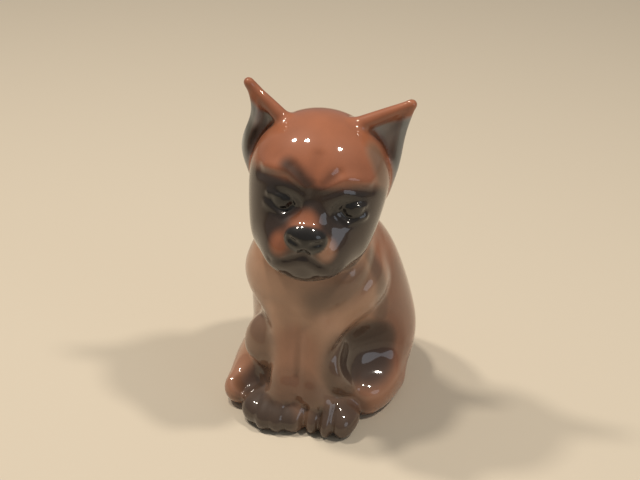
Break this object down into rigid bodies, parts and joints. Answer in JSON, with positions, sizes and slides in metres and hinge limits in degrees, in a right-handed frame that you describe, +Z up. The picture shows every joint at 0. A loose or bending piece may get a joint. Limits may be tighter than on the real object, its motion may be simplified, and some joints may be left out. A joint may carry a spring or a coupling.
{
  "type": "porcelain dog figurine",
  "caption": "Seated glazed porcelain puppy with cropped pointed ears and its head turned a little to its left, hollow-cast with a flat base, an ornament for a shelf.",
  "frame": {"origin": "on the flat base, under the belly and midway between the flanks", "axes": "+Z up from the table, -Y the way the dog's body faces, +X to the dog's left"},
  "size_m": [0.0542, 0.0689, 0.1027],
  "materials": {
    "fawn_glaze": "fawn underglaze wash on porcelain under a clear gloss glaze",
    "russet_glaze": "sprayed russet underglaze on porcelain under a clear gloss glaze",
    "umber_glaze": "russet and dark umber underglaze on porcelain under a clear gloss glaze"
  },
  "bodies": {
    "root": {"body_shell": "fawn_glaze", "left_foreleg": "fawn_glaze", "right_foreleg": "fawn_glaze", "head_shell": "russet_glaze", "left_hind_leg": "russet_glaze", "right_hind_leg": "russet_glaze", "tail": "russet_glaze", "left_ear": "umber_glaze", "right_ear": "umber_glaze"}
  },
  "joints": []
}
